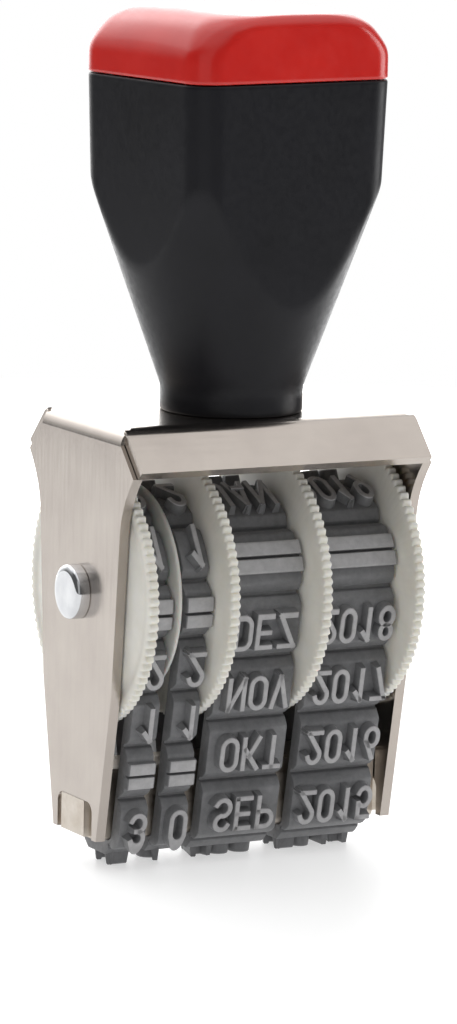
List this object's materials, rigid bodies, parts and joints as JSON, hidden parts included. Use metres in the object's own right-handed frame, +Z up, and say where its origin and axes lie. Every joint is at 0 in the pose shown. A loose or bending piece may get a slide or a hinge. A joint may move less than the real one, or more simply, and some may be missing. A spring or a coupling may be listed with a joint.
{
  "type": "band date stamp",
  "caption": "Hand-held date stamp: rubber type bands turned by toothed thumb wheels in a bent sheet-metal frame, under a moulded plastic handle with a coloured cap.",
  "frame": {"origin": "on the printing plane, under the middle of the stamp (bottom centre of the box)", "axes": "+X to the right as seen from the front, along the line of print and the wheels' axle; -Y to the front; +Z up towards the cap"},
  "size_m": [0.0392, 0.029, 0.0922],
  "materials": {
    "nickel_sheet": "nickel-plated steel sheet, satin with a warm cast",
    "bar_steel": "plated steel bar, satin",
    "axle_chrome": "bright turned and plated",
    "wheel_plastic": "ivory moulded plastic, slightly translucent",
    "disc_plastic": "natural moulded plastic, smooth",
    "band_rubber": "moulded dark grey rubber, satin",
    "handle_plastic": "black moulded plastic, fine satin",
    "cap_plastic": "red moulded plastic, glossy",
    "fastener_steel": "zinc-plated steel"
  },
  "bodies": {
    "body": {"frame": "nickel_sheet", "bridge_bar": "bar_steel", "axle": "axle_chrome", "separator_disc": "disc_plastic", "tens_band": "band_rubber", "units_band": "band_rubber", "month_band": "band_rubber", "year_band": "band_rubber", "handle_body": "handle_plastic", "handle_cap": "cap_plastic", "handle_screw": "fastener_steel", "handle_washer": "fastener_steel"},
    "tens": {"tens_wheel": "wheel_plastic"},
    "units": {"units_wheel": "wheel_plastic"},
    "month": {"month_wheel": "wheel_plastic"},
    "year": {"year_wheel": "wheel_plastic"}
  },
  "joints": [
    {"name": "tens_spin", "type": "hinge", "parent": "body", "child": "tens", "pos_m": [-0.0161, 0, 0.0298], "axis": [1, 0, 0], "continuous": true},
    {"name": "units_spin", "type": "hinge", "parent": "body", "child": "units", "pos_m": [-0.0065, 0, 0.0298], "axis": [1, 0, 0], "continuous": true},
    {"name": "month_spin", "type": "hinge", "parent": "body", "child": "month", "pos_m": [0.0047, 0, 0.0298], "axis": [1, 0, 0], "continuous": true},
    {"name": "year_spin", "type": "hinge", "parent": "body", "child": "year", "pos_m": [0.01602, 0, 0.0298], "axis": [1, 0, 0], "continuous": true}
  ]
}
